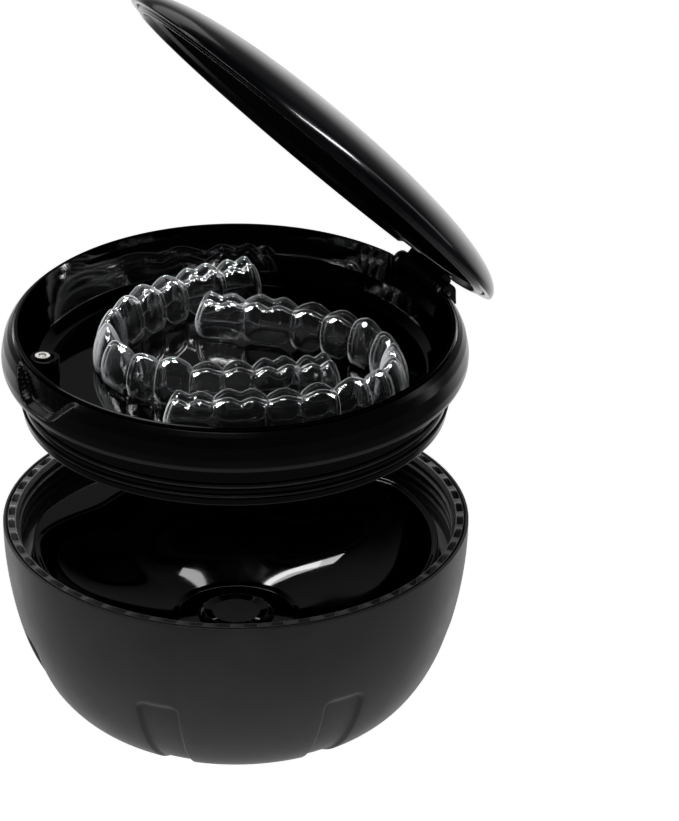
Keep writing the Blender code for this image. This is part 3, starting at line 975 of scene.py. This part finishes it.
# Name, place (right, behind, above, in metres along the camera's axes), size, power, turn in
# degrees, and the pieces that the light falls on
SOFTBOXES = (
    ("basin_left", (0.03, 0.5, 1.0), (0.5, 0.4), 4, 0, BASIN),
    ("basin_right", (-0.085, 0.27, 0.56), (0.18, 0.24), 1.2, 45, BASIN),
    ("left_strip", (-0.75, 0.15, 0.30), (0.12, 0.7), 1.0, 0, SIDES),
    ("right_strip", (0.75, 0.20, 0.30), (0.12, 0.7), 0.3, 0, SIDES),
    ("lid_strip", (0.52, -0.18, 0.93), (0.9, 0.12), 14, -35, ("lid_shell_fine",)),
    ("front_fill", (-0.2, -0.45, 1.3), (0.6, 0.4), 4.2, 0, OUTSIDE),
    ("back_fill", (-0.35, 1.2, 0.8), (1.2, 0.7), 2.5, 0, (*SIDES, "rim_collar_fine")),
    ("dish_back", (-0.10, 0.28, 0.555), (0.25, 0.25), 0.3, 0, ("tray_dish_fine", "magnet_post")),
    ("magnet_back", (0.0, 0.45, 0.33), (0.25, 0.12), 0.15, 0, ("tray_magnet_fine",)),
    ("clear_back", (0.05, 0.45, 0.42), (0.25, 0.12), 4, 0, CLEAR),
    ("clear_left", (-0.50, 0.05, 0.42), (0.12, 0.25), 4, 0, CLEAR),
    ("clear_right", (0.50, 0.10, 0.40), (0.12, 0.25), 4, 0, CLEAR),
    ("clear_front", (-0.10, -0.30, 0.70), (0.25, 0.10), 4, 0, CLEAR),
)


def make_floor():
    """White paper under the object, which reflections don't show."""
    size = 3.0
    corners = [(-size, -size, 0), (size, -size, 0), (size, size, 0), (-size, size, 0)]
    mesh = bpy.data.meshes.new("studio_floor")
    mesh.from_pydata(corners, [], [(0, 1, 2, 3)])
    made = bpy.data.objects.new("studio_floor", mesh)
    bpy.context.scene.collection.objects.link(made)
    paint = Paint("floor_paper", (0.93, 0.93, 0.93), 0.9, Specular_IOR_Level=0.0)
    paint.shader.inputs["Emission Color"].default_value = (1, 1, 1, 1)
    paint.shader.inputs["Emission Strength"].default_value = 0.99
    mesh.materials.append(paint.material)
    made.location.z = -0.0002
    made.visible_glossy = False


def forward():
    """Horizontal direction that the camera looks along."""
    return Vector((-math.sin(AZIMUTH), math.cos(AZIMUTH), 0))


def rightward():
    """Horizontal direction to the camera's right."""
    return Vector((math.cos(AZIMUTH), math.sin(AZIMUTH), 0))


def make_world():
    """Dark studio with a white sweep behind the object, low down."""
    world = bpy.data.worlds.new("studio")
    bpy.context.scene.world = world
    world.use_nodes = True
    nodes, links = world.node_tree.nodes, world.node_tree.links
    place = nodes.new("ShaderNodeTexCoord").outputs["Generated"]

    def dot(direction):
        made = nodes.new("ShaderNodeVectorMath")
        made.operation = "DOT_PRODUCT"
        made.inputs[1].default_value = direction
        links.new(place, made.inputs[0])
        return made.outputs["Value"]

    def ranged(value, start, end, low, high):
        made = nodes.new("ShaderNodeMapRange")
        made.interpolation_type = "SMOOTHSTEP"
        for socket, number in zip(
            ("From Min", "From Max", "To Min", "To Max"), (start, end, low, high)
        ):
            made.inputs[socket].default_value = number
        links.new(value, made.inputs["Value"])
        return made.outputs["Result"]

    def combined(operation, a, b):
        made = nodes.new("ShaderNodeMath")
        made.operation = operation
        links.new(a, made.inputs[0])
        links.new(b, made.inputs[1])
        return made.outputs["Value"]

    behind = ranged(dot(forward()), *SWEEP_BEHIND)
    below = ranged(dot((0, 0, 1)), *SWEEP_BELOW)
    under = ranged(dot((0, 0, 1)), *GLOW_UNDER)
    background = nodes["Background"]
    links.new(
        combined("ADD", combined("MULTIPLY", behind, below), under), background.inputs["Strength"]
    )
    background.inputs["Color"].default_value = (1, 1, 1, 1)


def softbox(name, across, out, up, size, power, turn, only):
    """A soft light that faces the object and falls only on the named pieces."""
    light = bpy.data.lights.new(name, "AREA")
    light.shape = "RECTANGLE"
    light.size, light.size_y = size
    light.energy = power
    made = bpy.data.objects.new(name, light)
    bpy.context.scene.collection.objects.link(made)
    made.location = rightward() * across + forward() * out + Vector((0, 0, up))
    aimed = (Vector((0, 0, 0.06)) - made.location).to_track_quat("-Z", "Y")
    made.rotation_euler = (aimed @ Quaternion((0, 0, 1), math.radians(turn))).to_euler()
    made.visible_camera = False
    chosen = bpy.data.collections.new(f"{name}_falls_on")
    for piece_name in only:
        chosen.objects.link(bpy.data.objects[piece_name])
    made.light_linking.receiver_collection = chosen
    return made


def make_lights():
    """All the softboxes."""
    for name, place, size, power, turn, only in SOFTBOXES:
        softbox(name, *place, size, power, turn, only)


def make_camera():
    """Long lens with no shift, aimed beside the object so that it stands left of the middle."""
    data = bpy.data.cameras.new("camera")
    made = bpy.data.objects.new("camera", data)
    bpy.context.scene.collection.objects.link(made)
    data.sensor_fit = "VERTICAL"
    data.sensor_height = 36.0
    data.lens = data.sensor_height * DISTANCE / VIEW_HEIGHT
    data.clip_start, data.clip_end = 0.1, 20
    look = forward() * math.cos(ELEVATION) - Vector((0, 0, math.sin(ELEVATION)))
    upward = rightward().cross(look)
    aim = Vector((0, 0, AIM_Z)) + rightward() * AIM[0] + upward * AIM[1]
    made.location = aim - look * DISTANCE
    made.rotation_euler = look.to_track_quat("-Z", "Y").to_euler()
    bpy.context.scene.camera = made


def main():
    """Makes every piece with its material, then the stage, the lights and the camera."""
    gloss_black = (0.0011, 0.0011, 0.0014)
    tray_gloss = polished("piano_black_tray", gloss_black, 0.03, 0.07)
    plating = plated("nickel_plate", (0.62, 0.60, 0.57), 0.22)
    hinge_black = satin("hinge_black", (0.005, 0.005, 0.006), 0.22)
    make_bowl_shell(soft_touch())
    make_collar(satin("collar_black", (0.085, 0.085, 0.09), 0.4))
    liner_gloss = polished("piano_black_liner", gloss_black, 0.03, 0.07)
    make_liner(liner_gloss)
    make_plug(liner_gloss)
    make_dish(tray_gloss)
    make_post(tray_gloss)
    make_magnet("tray_magnet_fine", plating, "tray", "tray_magnet", MAGNET_TOP)
    make_band(
        polished("gloss_black_band", (0.0022, 0.0022, 0.0026), 0.17, 0.23, Specular_IOR_Level=0.3)
    )
    make_seals(silicone())
    make_pin(plated("bright_steel", (0.64, 0.64, 0.65), 0.18))
    make_bracket(hinge_black)
    make_knuckle(hinge_black)
    lid_gloss = polished(
        "piano_black_lid", (0.0013, 0.0014, 0.0019), 0.13, 0.18, Specular_IOR_Level=0.4
    )
    make_lid(lid_gloss, satin("lid_rim_black", (0.003, 0.003, 0.0035), 0.2), flocked(), plating)
    clear, edge = clear_sheet(), cut_edge()
    for name in ARCHES:
        make_guard(name, clear, edge)
    make_floor()
    make_world()
    make_lights()
    make_camera()
    bpy.context.scene.view_settings.view_transform = "Standard"


main()
